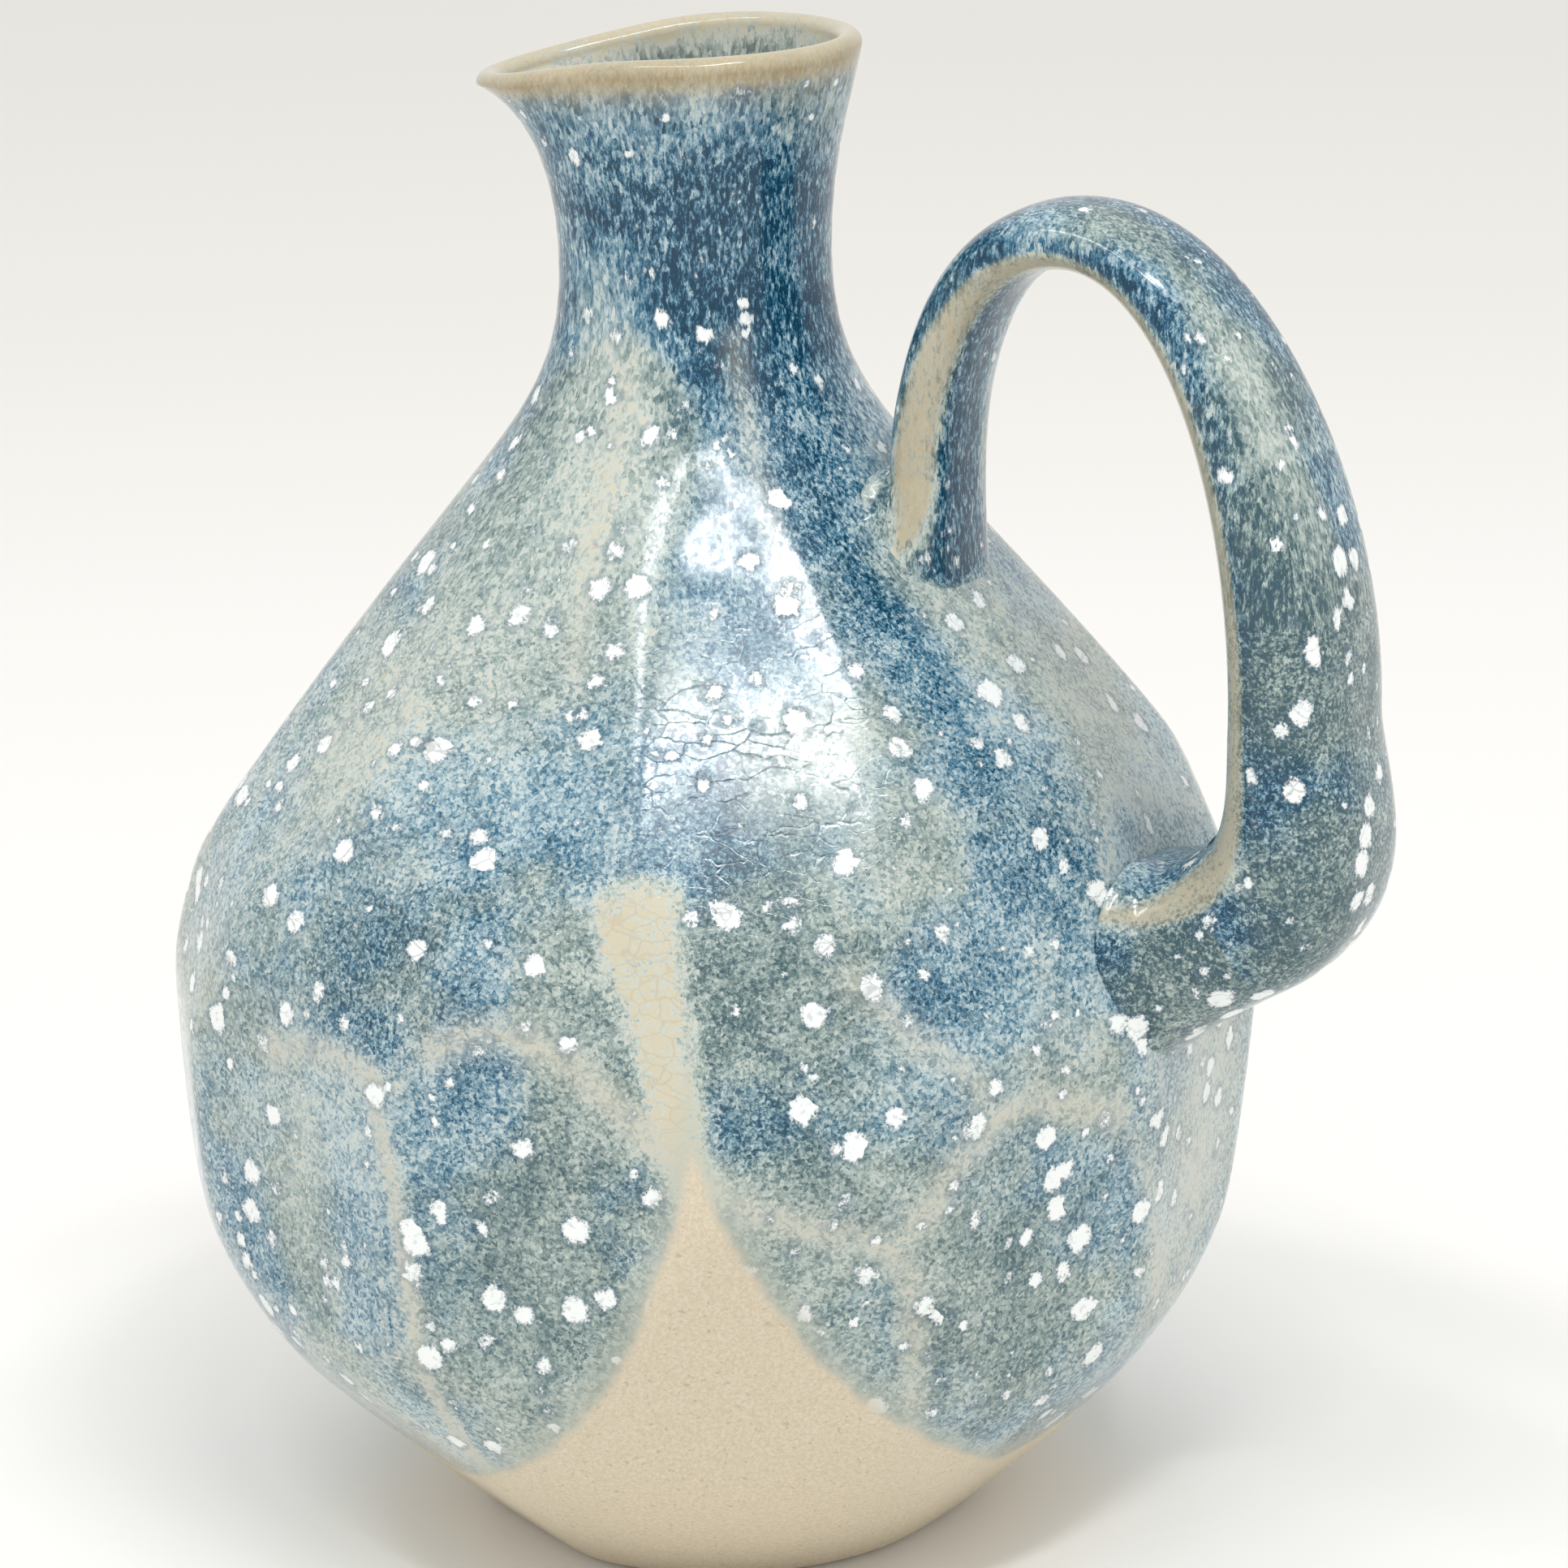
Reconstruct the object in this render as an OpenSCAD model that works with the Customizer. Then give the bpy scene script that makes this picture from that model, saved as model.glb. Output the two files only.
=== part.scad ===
// Hand-faceted stoneware pouring jug with a pinched lip and a pulled strap handle.
// Millimetres. The jug stands on the origin, Z is its turning axis and the handle lies towards +X.

/* [Thrown body] */
// Height from the table to the top of the rim
jug_h = 180; // [165:1:200]
// Radius of the flat base
foot_r = 30.5; // [26:0.5:36]
// Thickness of the floor slab
foot_t = 7; // [5:0.5:9]
// Radius of the belly before the flats are cut
belly_r = 66.5; // [62:0.5:72]
// Height of the widest part of the belly
belly_z = 58; // [52:1:64]
// Radius at the middle of the sloping shoulder
shoulder_r = 49; // [45:0.5:53]
// Height of the middle of the shoulder, as a share of the rise from the belly to the waist
shoulder_share = 0.474; // [0.42:0.002:0.53]
// Radius of the neck at its waist
neck_r = 16; // [14:0.5:19]
// Height of the rim above the waist of the neck
mouth_h = 26; // [22:1:34]
// Wall of the neck
neck_wall = 4; // [3:0.25:5]

/* [Cut flats] */
// Depth of the deepest knife cut into the thrown wall
facet_cut = 5.6; // [3:0.2:6.4]
// Clay left under the deepest cut
facet_web = 2.6; // [2:0.2:4]

/* [Pouring lip] */
// Radius of the rim away from the spout
rim_r = 20; // [18:0.5:23]
// Thickness of the rounded rim
lip_t = 3; // [2:0.25:3.75]
// How far the spout is pulled out past the round rim
spout_reach = 5; // [3:0.5:9]
// How far the tip of the spout hangs below the rim
spout_droop = 4; // [0:0.5:7]
// How far the rim is drawn in beside the spout
spout_pinch = 1.2; // [0:0.2:2]
// Direction of the spout round the axis, from the handle, in degrees
spout_turn = 197; // [165:1:225]

/* [Handle] */
// Drop from the waist of the neck to the seat of the strap on the shoulder
upper_seat_drop = 29.5; // [26:0.5:35]
// Rise from the widest part of the belly to the seat of the strap's lower end
lower_seat_rise = 21; // [18:0.5:26]
// Rise of the upper root from the shoulder to the strap
upper_root_rise = 7.5; // [7:0.5:11]
// Run of the lower root from the belly to the strap
lower_root_run = 8.5; // [7:0.5:10]
// Drop from the rim to the middle of the strap at the top of the arch
arch_drop = 20; // [12:0.5:26]
// How far the middle of the outer limb stands out past the belly
limb_stand = 10; // [8:0.5:17.5]
// Width of the strap at its upper end
strap_top_w = 15.5; // [12:0.5:20]
// Width of the strap at its lower end
strap_low_w = 28; // [22:0.5:32]
// Thickness of the strap at the top of the arch
strap_arch_t = 7.5; // [6:0.25:10]
// Thickness of the strap at its upper end
strap_top_t = 8.5; // [7:0.25:10]
// Thickness of the strap at its lower end
strap_low_t = 17.5; // [14:0.25:18.5]
// Spread of the clay where each root is thumbed down on the body
root_spread = 3; // [2:0.25:4.5]

/* [Hidden] */
$fn = 96;

glaze_blue = "#7d9cb9";
glaze_pale = "#a9bcc8";
glaze_deep = "#4f79a6";
bare_clay = "#d8cab0";

// The outer profile is one smooth curve through five stations: foot, belly, shoulder, waist and rim.
// Lean is the angle of the wall from the vertical there, outwards where it is positive.
foot_lean = 50;
shoulder_lean = -40;
rim_lean = 8;
edge_z = jug_h - lip_t / 2;
waist_z = jug_h - mouth_h;
shoulder_z = belly_z + (waist_z - belly_z) * shoulder_share;
stations = [[foot_r, 0], [belly_r, belly_z], [shoulder_r, shoulder_z], [neck_r, waist_z], [rim_r, edge_z]];
leans = [foot_lean, 0, shoulder_lean, 0, rim_lean];
// How strongly the curve holds its lean when it leaves and reaches a station, by the stretch's chord
pull_shares = [[0.5, 1.27], [1.24, 1.67], [1.86, 0.85], [1.45, 0.7]];

// Seams between the clay sections, as shares of the stretch of curve that they cut
bowl_seam_share = 0.55;
dome_seam_share = 0.5;
stretch_steps = 12;

// Wall that is thick enough to be cut, thinning from the belly to the waist
body_wall = facet_cut + facet_web;

// Knife cuts all round: degrees round the axis, degrees that the flat looks up, share of the deepest cut
upper_facet_shares = [
    [-51, 14, 0.8], [-73, 16, 0.84], [-105, 18, 0.84], [-27, 20, 0.8], [4, 19, 0.72], [32, 20, 0.5],
    [66, 17, 0.82], [99, 19, 0.76], [131, 16, 0.84], [164, 18, 0.8], [196, 16, 0.56], [226, 17, 0.4]];
middle_facet_shares = [
    [-83, -1, 1], [-112, 0, 0.9], [-45, -11, 0.74], [-26, -6, 0.9], [4, -5, 0.8], [34, -9, 0.6],
    [65, -5, 0.88], [97, -3, 0.96], [128, -7, 0.86], [160, -2, 0.94], [191, -6, 0.7], [219, -3, 0.3]];
lower_facet_shares = [
    [-60, -20, 0.66], [-116, -45, 0.38], [-11, -44, 0.2], [42, -46, 0.3], [94, -44, 0.42], [146, -47, 0.46],
    [198, -45, 0.36]];
shoulder_facet_shares = [
    [-89, 36, 0.5], [-57, 37, 0.44], [14, 37, 0.3], [50, 36, 0.44], [88, 37, 0.4], [126, 36, 0.48],
    [162, 37, 0.38], [198, 36, 0.42], [234, 37, 0.3]];
facets = concat(upper_facet_shares, middle_facet_shares, lower_facet_shares, shoulder_facet_shares);

// The knife's block, far larger than any flat that it leaves
overrun = 1;
block_w = belly_r;
block_h = shoulder_z;
block_t = facet_cut + overrun;

// Pouring lip: points round it, steps up its wall, half angle of the spout and of the drawn-in sides
lip_sides = 64;
lip_steps = 9;
roll_steps = 4;
spout_half_angle = 34;
droop_half_angle = 55;
pinch_turn = 62;
pinch_half_angle = 26;
// How late the spout leaves the round of the neck
spout_start_power = 2.4;

// Strap handle: steps along it and points round its section
strap_steps = 11;
strap_sides = 20;
root_steps = 6;
// How square the section is at the shoulder, the arch, the outer limb and the belly, and where a root ends
strap_squares = [4, 3.4, 2.8, 2.6];
root_square = 2.2;
// Reach of the top of the arch, between the upper end of the strap and its outer limb
arch_share = 0.395;
// Height at which the outer limb stands out furthest, between the lower seat and the arch
limb_share = 0.346;
// Width of the strap at the arch and at the outer limb, between its two ends
arch_w_share = 0.15;
limb_w_share = 0.88;
limb_t_share = 0.68;
// How strongly the strap's centre line holds its direction, by the chord of each stretch
strap_pull_shares = [[1.15, 1.15], [0.85, 1.2], [0.9, 1.3]];
// Angle below the level at which the lower end of the strap runs into the belly
lower_dip = 30;
// Angle from the upright at which the strap leaves the shoulder, away from the neck
upper_lean = 3;
// How far a root goes on inside the body before the body cuts it
root_bury_share = 0.9;

// Curve from p0 to p1 that leaves along m0 and arrives along m1
function hermite(p0, p1, m0, m1, t) =
    (2 * t ^ 3 - 3 * t ^ 2 + 1) * p0 + (t ^ 3 - 2 * t ^ 2 + t) * m0
    + (3 * t ^ 2 - 2 * t ^ 3) * p1 + (t ^ 3 - t ^ 2) * m1;

// Direction of the curve from p0 to p1 at t
function hermite_slope(p0, p1, m0, m1, t) =
    (6 * t ^ 2 - 6 * t) * (p0 - p1) + (3 * t ^ 2 - 4 * t + 1) * m0 + (3 * t ^ 2 - 2 * t) * m1;

function wall_way(lean) = [sin(lean), cos(lean)];

// Stretch i of the profile as its two ends and their pulls
function stretch(i) =
    let (p0 = stations[i], p1 = stations[i + 1], chord = norm(p1 - p0))
    [p0, p1, wall_way(leans[i]) * chord * pull_shares[i][0], wall_way(leans[i + 1]) * chord * pull_shares[i][1]];

// Point [radius, height] of the profile at u, counted in stretches from the foot
function outer_point(u) =
    let (i = min(floor(u), len(stations) - 2), s = stretch(i))
    hermite(s[0], s[1], s[2], s[3], u - i);

function outer_slope(u) =
    let (i = min(floor(u), len(stations) - 2), s = stretch(i))
    hermite_slope(s[0], s[1], s[2], s[3], u - i);

function wall_at(z) = lookup(z, [[belly_z, body_wall], [waist_z, neck_wall]]);

// Inner wall, measured level so that every seam between two sections is a flat ring
function inner_point(u) =
    let (p = outer_point(u), d = outer_slope(u))
    [p[0] - wall_at(p[1]) * norm(d) / d[1], p[1]];

function steps(from, to, count) = [for (k = [0 : count]) from + (to - from) * k / count];

// Share of the first stretch at which the profile reaches height z, found by halving
function rise_share(z, low = 0, high = 1, left = 24) =
    left == 0 ? (low + high) / 2
    : let (mid = (low + high) / 2)
      outer_point(mid)[1] < z ? rise_share(z, mid, high, left - 1) : rise_share(z, low, mid, left - 1);

floor_u = rise_share(foot_t);
bowl_u = 1 + bowl_seam_share;
dome_u = 2 + dome_seam_share;
waist_u = 3;
body_samples = [for (u = steps(0, dome_u, stretch_steps * 4)) outer_point(u)];
profile_heights = [for (p = body_samples) [p[1], p[0]]];

function outer_r(z) = lookup(z, profile_heights);

// Distance from the belly's centre to the thrown wall, seen along a flat that looks up by tilt
function thrown_reach(tilt) = max([for (p = body_samples) p[0] * cos(tilt) + (p[1] - belly_z) * sin(tilt)]);

module wall_ring(from_u, to_u) {
    us = steps(from_u, to_u, stretch_steps);
    rotate_extrude()
        polygon(concat([for (u = us) outer_point(u)],
                       [for (k = [len(us) - 1 : -1 : 0]) inner_point(us[k])]));
}

module knife_cuts() {
    for (f = facets)
        translate([0, 0, belly_z])
            rotate([0, -f[1], f[0]])
                translate([thrown_reach(f[1]) - facet_cut * f[2], -block_w / 2, -block_h / 2])
                    cube([block_t, block_w, block_h]);
}

// The body's whole outside as one solid, which the handle's roots are pressed on
module body_outside() {
    difference() {
        rotate_extrude() polygon(concat([[0, 0]], body_samples, [[0, outer_point(dome_u)[1]]]));
        knife_cuts();
    }
}

module foot_slab() {
    color(bare_clay)
        difference() {
            rotate_extrude()
                polygon(concat([[0, 0]], [for (u = steps(0, floor_u, stretch_steps)) outer_point(u)], [[0, foot_t]]));
            knife_cuts();
        }
}

module faceted_bowl() {
    color(glaze_blue)
        difference() {
            wall_ring(floor_u, bowl_u);
            knife_cuts();
        }
}

module shoulder_dome() {
    color(glaze_pale)
        difference() {
            wall_ring(bowl_u, dome_u);
            knife_cuts();
        }
}

module neck_collar() {
    color(glaze_deep) wall_ring(dome_u, waist_u);
}

// Skin of a closed row of rings that all have the same number of points
module ring_skin(rings, closed = false) {
    count = len(rings);
    sides = len(rings[0]);
    last = closed ? count - 1 : count - 2;
    sheet = [for (i = [0 : last], j = [0 : sides - 1])
        let (a = i * sides, b = ((i + 1) % count) * sides, k = (j + 1) % sides)
        each [[a + j, b + j, b + k], [a + j, b + k, a + k]]];
    caps = closed ? []
        : [[for (j = [0 : sides - 1]) j], [for (j = [sides - 1 : -1 : 0]) (count - 1) * sides + j]];
    polyhedron([for (r = rings) each r], concat(sheet, caps), convexity = 6);
}

function bell(x, width) = exp(-(x / width) ^ 2);

function turn_from_spout(a) = abs((a - spout_turn + 540) % 360 - 180);

// Point of the lip at angle a: v runs from the waist up to the edge, inset goes in from the outer face
function lip_point(a, v, inset, lift) =
    let (p = outer_point(waist_u + v), away = turn_from_spout(a), grow = v ^ spout_start_power,
         pull = spout_reach * bell(away, spout_half_angle),
         draw = spout_pinch * bell(away - pinch_turn, pinch_half_angle),
         r = p[0] + (pull - draw) * grow - inset,
         z = p[1] - spout_droop * bell(away, droop_half_angle) * grow + lift)
    [r * cos(a), r * sin(a), z];

function lip_wall(v) = neck_wall + (lip_t - neck_wall) * v;

function lip_ring(v, inset, lift) =
    [for (j = [0 : lip_sides - 1]) lip_point(360 * j / lip_sides, v, inset, lift)];

module pouring_lip() {
    up = steps(0, 1, lip_steps);
    roll = [for (k = [1 : roll_steps - 1]) 180 * k / roll_steps];
    color(glaze_pale)
        ring_skin(concat(
            [for (v = up) lip_ring(v, 0, 0)],
            [for (t = roll) lip_ring(1, lip_t * (1 - cos(t)) / 2, lip_t * sin(t) / 2)],
            [for (k = [lip_steps : -1 : 0]) lip_ring(up[k], lip_wall(up[k]), 0)]), closed = true);
}

// Centre line of the strap in the plane of the handle, from the shoulder over the arch to the belly
upper_seat_z = waist_z - upper_seat_drop;
lower_seat_z = belly_z + lower_seat_rise;
upper_seat = [outer_r(upper_seat_z), upper_seat_z];
lower_seat = [outer_r(lower_seat_z), lower_seat_z];
lower_way = [-cos(lower_dip), -sin(lower_dip)];
upper_way = [sin(upper_lean), cos(upper_lean)];
strap_start = upper_seat + upper_way * upper_root_rise;
limb_x = belly_r + limb_stand;
arch_x = strap_start[0] + (limb_x - strap_start[0]) * arch_share;
arch_z = jug_h - arch_drop;
limb_z = lower_seat_z + (arch_z - lower_seat_z) * limb_share;
strap_stations = [strap_start, [arch_x, arch_z], [limb_x, limb_z], lower_seat - lower_way * lower_root_run];
strap_ways = [upper_way, [1, 0], [0, -1], lower_way];
strap_widths = [strap_top_w, strap_top_w + (strap_low_w - strap_top_w) * arch_w_share,
                strap_top_w + (strap_low_w - strap_top_w) * limb_w_share, strap_low_w];
strap_thicks = [strap_top_t, strap_arch_t, strap_arch_t + (strap_low_t - strap_arch_t) * limb_t_share, strap_low_t];

function strap_stretch(i) =
    let (p0 = strap_stations[i], p1 = strap_stations[i + 1], chord = norm(p1 - p0))
    [p0, p1, strap_ways[i] * chord * strap_pull_shares[i][0], strap_ways[i + 1] * chord * strap_pull_shares[i][1]];

// Section of the strap: a soft-cornered oblong square to the way it runs
function section_ring(centre, way, w, t, square) =
    let (out = [way[1], -way[0]] / norm(way))
    [for (j = [0 : strap_sides - 1])
        let (a = 360 * j / strap_sides,
             x = sign(cos(a)) * abs(cos(a)) ^ (2 / square) * t / 2,
             y = sign(sin(a)) * abs(sin(a)) ^ (2 / square) * w / 2,
             p = centre + out * x)
        [p[0], y, p[1]]];

// Value between two stations of the strap, eased so that it swells without a kink
function between(values, i, t) = values[i] + (values[i + 1] - values[i]) * (3 * t ^ 2 - 2 * t ^ 3);

function strap_ring(u) =
    let (i = min(floor(u), len(strap_stations) - 2), t = u - i, s = strap_stretch(i))
    section_ring(hermite(s[0], s[1], s[2], s[3], t), hermite_slope(s[0], s[1], s[2], s[3], t),
                 between(strap_widths, i, t), between(strap_thicks, i, t), between(strap_squares, i, t));

module handle_strap() {
    stretches = len(strap_stations) - 1;
    color(glaze_deep)
        ring_skin([for (u = steps(0, stretches, strap_steps * stretches)) strap_ring(u)]);
}

// Root that carries end section i of the strap on into the body, spreading and rounding as it goes
module handle_root(i, way, run) {
    depth = run + (strap_thicks[i] / 2 + root_spread) * root_bury_share;
    color(glaze_deep)
        difference() {
            ring_skin([for (s = steps(0, 1, root_steps))
                let (spread = 2 * root_spread * s ^ 2)
                section_ring(strap_stations[i] + way * depth * s, way, strap_widths[i] + spread,
                             strap_thicks[i] + spread, strap_squares[i] + (root_square - strap_squares[i]) * s)]);
            body_outside();
        }
}

module upper_root_coil() {
    handle_root(0, -upper_way, upper_root_rise);
}

module lower_root_coil() {
    handle_root(3, lower_way, lower_root_run);
}

foot_slab();
faceted_bowl();
shoulder_dome();
neck_collar();
pouring_lip();
handle_strap();
upper_root_coil();
lower_root_coil();
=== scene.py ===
import math

import bpy
import numpy as np
from mathutils import Matrix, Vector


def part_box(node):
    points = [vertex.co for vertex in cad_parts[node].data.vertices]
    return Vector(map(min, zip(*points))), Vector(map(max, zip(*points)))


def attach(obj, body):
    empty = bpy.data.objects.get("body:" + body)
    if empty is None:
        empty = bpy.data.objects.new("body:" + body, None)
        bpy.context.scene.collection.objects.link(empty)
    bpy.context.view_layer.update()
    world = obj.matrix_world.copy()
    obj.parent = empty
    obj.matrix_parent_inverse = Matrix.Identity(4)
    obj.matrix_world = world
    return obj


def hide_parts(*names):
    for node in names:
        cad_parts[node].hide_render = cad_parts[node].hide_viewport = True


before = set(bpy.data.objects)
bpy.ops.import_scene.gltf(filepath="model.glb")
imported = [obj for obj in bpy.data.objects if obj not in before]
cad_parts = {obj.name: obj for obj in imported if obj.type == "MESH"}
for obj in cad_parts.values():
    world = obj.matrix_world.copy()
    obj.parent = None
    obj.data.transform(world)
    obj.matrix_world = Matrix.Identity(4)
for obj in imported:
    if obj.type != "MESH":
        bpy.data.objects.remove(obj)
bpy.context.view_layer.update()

mm = 0.001  # sizes below are in millimetres, Blender works in metres
print("frame loaded with", len(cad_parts), "nodes")

# Thrown profile, as the clay sections in the frame follow it

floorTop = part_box("foot_slab")[1][2] / mm
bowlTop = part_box("faceted_bowl")[1][2] / mm
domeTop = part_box("shoulder_dome")[1][2] / mm
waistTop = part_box("neck_collar")[1][2] / mm

thrownBody = {
    "stations": [[30.5, 0], [66.5, 58], [49, 103.5], [16, 154], [20, 178.5]],  # radius, height
    "leans": [50, 0, -40, 0, 8],  # degrees off the upright at each station
    "pulls": [[0.5, 1.27], [1.24, 1.67], [1.86, 0.85], [1.45, 0.7]],  # hold of each lean, by the chord
    "bellyZ": 58,
    "bellyWall": 8.2,
    "neckWall": 4,
    "innerSage": 0.3,  # how grey-green the inner wall is
    "columns": 640,  # points round the axis
    "rowStep": 0.68,  # distance between rings
    "innerStep": 3.5,  # and on the inner wall
    "wobble": 0.25,  # how uneven the hand leaves the wall
    "throwRing": 0.04,  # depth of the finger rings on the neck
    "ringBand": [134, 12, 176, 6],  # their start, growth, end and fading
    "ringPace": 1.55,  # radians of a finger ring for each millimetre up
}


# Cubic through each pair of points: two weights for the ends, which add to one, and two for the end tangents
def cubicCurve(curve, u):
    points, leave, arrive = curve
    i = np.clip(np.floor(u).astype(int), 0, len(points) - 2)
    t = (u - i)[..., None]
    p0, p1, m0, m1 = points[i], points[i + 1], leave[i], arrive[i]
    point = ((2 * t**3 - 3 * t**2 + 1) * p0 + (t**3 - 2 * t**2 + t) * m0
             + (3 * t**2 - 2 * t**3) * p1 + (t**3 - t**2) * m1)
    slope = 6 * (t**2 - t) * (p0 - p1) + (3 * t**2 - 4 * t + 1) * m0 + (3 * t**2 - 2 * t) * m1
    return point, slope


# End tangent of a stretch: the way there times the chord times its pull
def curveThrough(points, ways, pulls):
    points, ways, pulls = np.array(points, float), np.array(ways, float), np.array(pulls, float)
    chords = np.linalg.norm(np.diff(points, axis=0), axis=1)[:, None]
    return points, ways[:-1] * chords * pulls[:, :1], ways[1:] * chords * pulls[:, 1:]


wallLeans = np.radians(thrownBody["leans"])
wallWays = np.stack([np.sin(wallLeans), np.cos(wallLeans)], axis=-1)
profile = curveThrough(thrownBody["stations"], wallWays, thrownBody["pulls"])
fineU = np.linspace(0, len(thrownBody["stations"]) - 1, 4001)
finePoint = cubicCurve(profile, fineU)[0]
fineArc = np.append(0, np.cumsum(np.linalg.norm(np.diff(finePoint, axis=0), axis=1)))


def thrownRadius(height):
    return np.interp(height, finePoint[:, 1], finePoint[:, 0])


# Rings at equal steps of arc length between two heights
def ringsBetween(low, high, step):
    ends = np.interp([low, high], finePoint[:, 1], fineArc)
    count = max(2, math.ceil((ends[1] - ends[0]) / step))
    return np.interp(np.linspace(ends[0], ends[1], count + 1), fineArc, fineU)


# Knife-cut flats: degrees round the axis, degrees that the flat looks up, share of the deepest cut

knifeCuts = {
    "depth": 5.6,
    "flats": [
        # upper row
        [-51, 14, 0.8], [-73, 16, 0.84], [-105, 18, 0.84], [-27, 20, 0.8], [4, 19, 0.72], [32, 20, 0.5],
        [66, 17, 0.82], [99, 19, 0.76], [131, 16, 0.84], [164, 18, 0.8], [196, 16, 0.56], [226, 17, 0.4],
        # middle row
        [-83, -1, 1], [-112, 0, 0.9], [-45, -11, 0.74], [-26, -6, 0.9], [4, -5, 0.8], [34, -9, 0.6],
        [65, -5, 0.88], [97, -3, 0.96], [128, -7, 0.86], [160, -2, 0.94], [191, -6, 0.7], [219, -3, 0.3],
        # lower row
        [-60, -20, 0.66], [-116, -45, 0.38], [-11, -44, 0.2], [42, -46, 0.3], [94, -44, 0.42],
        [146, -47, 0.46], [198, -45, 0.36],
        # shoulder
        [-89, 36, 0.5], [-57, 37, 0.44], [14, 37, 0.3], [50, 36, 0.44], [88, 37, 0.4], [126, 36, 0.48],
        [162, 37, 0.38], [198, 36, 0.42], [234, 37, 0.3]],
    "softness": 0.55,  # rounding of a ridge under the glaze
    "bow": 0.001,  # fall of a flat away from its middle, by the square of the height
    "liftFrom": 122,  # where the knife leaves the wall below the neck
    "lift": 0.02,
    "faced": 0.3,  # a flat counts where the cosine of the turn from it is more than this
    "farOff": 1000,  # level of a flat that does not count
}
flats = np.array(knifeCuts["flats"], float)
flatTurn, flatTilt = np.radians(flats[:, 0]), np.radians(flats[:, 1])
cutSamples = finePoint[finePoint[:, 1] <= domeTop]
cutRise = cutSamples[:, 1:] - thrownBody["bellyZ"]
thrownReach = np.max(cutSamples[:, :1] * np.cos(flatTilt) + cutRise * np.sin(flatTilt), axis=0)
flatReach = thrownReach - knifeCuts["depth"] * flats[:, 2]


# Level radius of the thrown wall and of every flat: (reach - rise x sin tilt) / (cos tilt x cos of the turn),
# less a slight bow of the flat and plus a lift where the knife leaves the wall
def wallLevels(turn, height):
    away = np.cos(turn[..., None] - flatTurn)
    rise = height[..., None] - thrownBody["bellyZ"]
    faced = away > knifeCuts["faced"]
    level = (flatReach - rise * np.sin(flatTilt)) / (np.cos(flatTilt) * np.where(faced, away, 1))
    bowed = (rise - flatReach * np.sin(flatTilt)) ** 2 * knifeCuts["bow"]
    lifted = np.maximum(height - knifeCuts["liftFrom"], 0) ** 2 * knifeCuts["lift"]
    level = np.where(faced, level - bowed, knifeCuts["farOff"]) + lifted[..., None]
    return np.concatenate([thrownRadius(height)[..., None], level], axis=-1)


# Zero to one over a stretch above the start, and back to zero below the end
def bandOf(height, start, grow, end, fall):
    return np.clip((height - start) / grow, 0, 1) * np.clip((end - height) / fall, 0, 1)


# Uneven hand: slow waves round and up the wall, and finger rings on the neck, both only ever inwards
def handMarks(turn, height):
    waves = 2 + np.sin(2 * turn + 0.11 * height) + np.sin(5 * turn - 0.07 * height + 1.3)
    ringing = bandOf(height, *thrownBody["ringBand"])
    rings = 1 + np.sin(height * thrownBody["ringPace"] + 1.2 * np.sin(turn) + 0.4 * np.sin(3 * turn))
    return thrownBody["wobble"] * waves / 4 + thrownBody["throwRing"] * ringing * rings / 2


# Soft minimum of all levels: lowest - k x log of the sum of exp((lowest - level) / k)
def bodyRadius(turn, height):
    levels = wallLevels(turn, height)
    lowest = levels.min(axis=-1)
    soft = knifeCuts["softness"]
    blend = soft * np.log(np.sum(np.exp((lowest[..., None] - levels) / soft), axis=-1))
    return lowest - blend - handMarks(turn, height)


# Radius times the cosine and the sine of the turn, and the height
def polar(radius, turn, height):
    return np.stack([radius * np.cos(turn), radius * np.sin(turn), height], axis=-1)


# Turn round the axis, height and radius of points
def placeOf(points):
    x, y, z = np.moveaxis(points, -1, 0)
    return np.arctan2(y, x), z, np.hypot(x, y)


# Outside of the body: the soft minimum at the height of the thrown profile
def bodyOutside(u, turn):
    height = cubicCurve(profile, u)[0][..., 1]
    return polar(bodyRadius(turn, height), turn, height)


# Inner wall: the thrown radius less the wall, measured level by dividing by the cosine of the lean
def bodyInside(u, turn):
    point, slope = cubicCurve(profile, u)
    walls = [thrownBody["bellyWall"], thrownBody["neckWall"]]
    wall = np.interp(point[..., 1], [thrownBody["bellyZ"], waistTop], walls)
    radius = point[..., 0] - wall * np.linalg.norm(slope, axis=-1) / slope[..., 1]
    return polar(radius, turn, point[..., 1])


# Grids and meshes

# Points of a surface on rows of its first parameter and columns of its second
def gridOf(surface, rows, columns):
    around = np.linspace(0, 2 * np.pi, columns, endpoint=False)
    along, around = np.meshgrid(rows, around, indexing="ij")
    return surface(along, around), along, around


def newObject(name, data):
    made = bpy.data.objects.new(name, data)
    bpy.context.scene.collection.objects.link(made)
    return made


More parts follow.
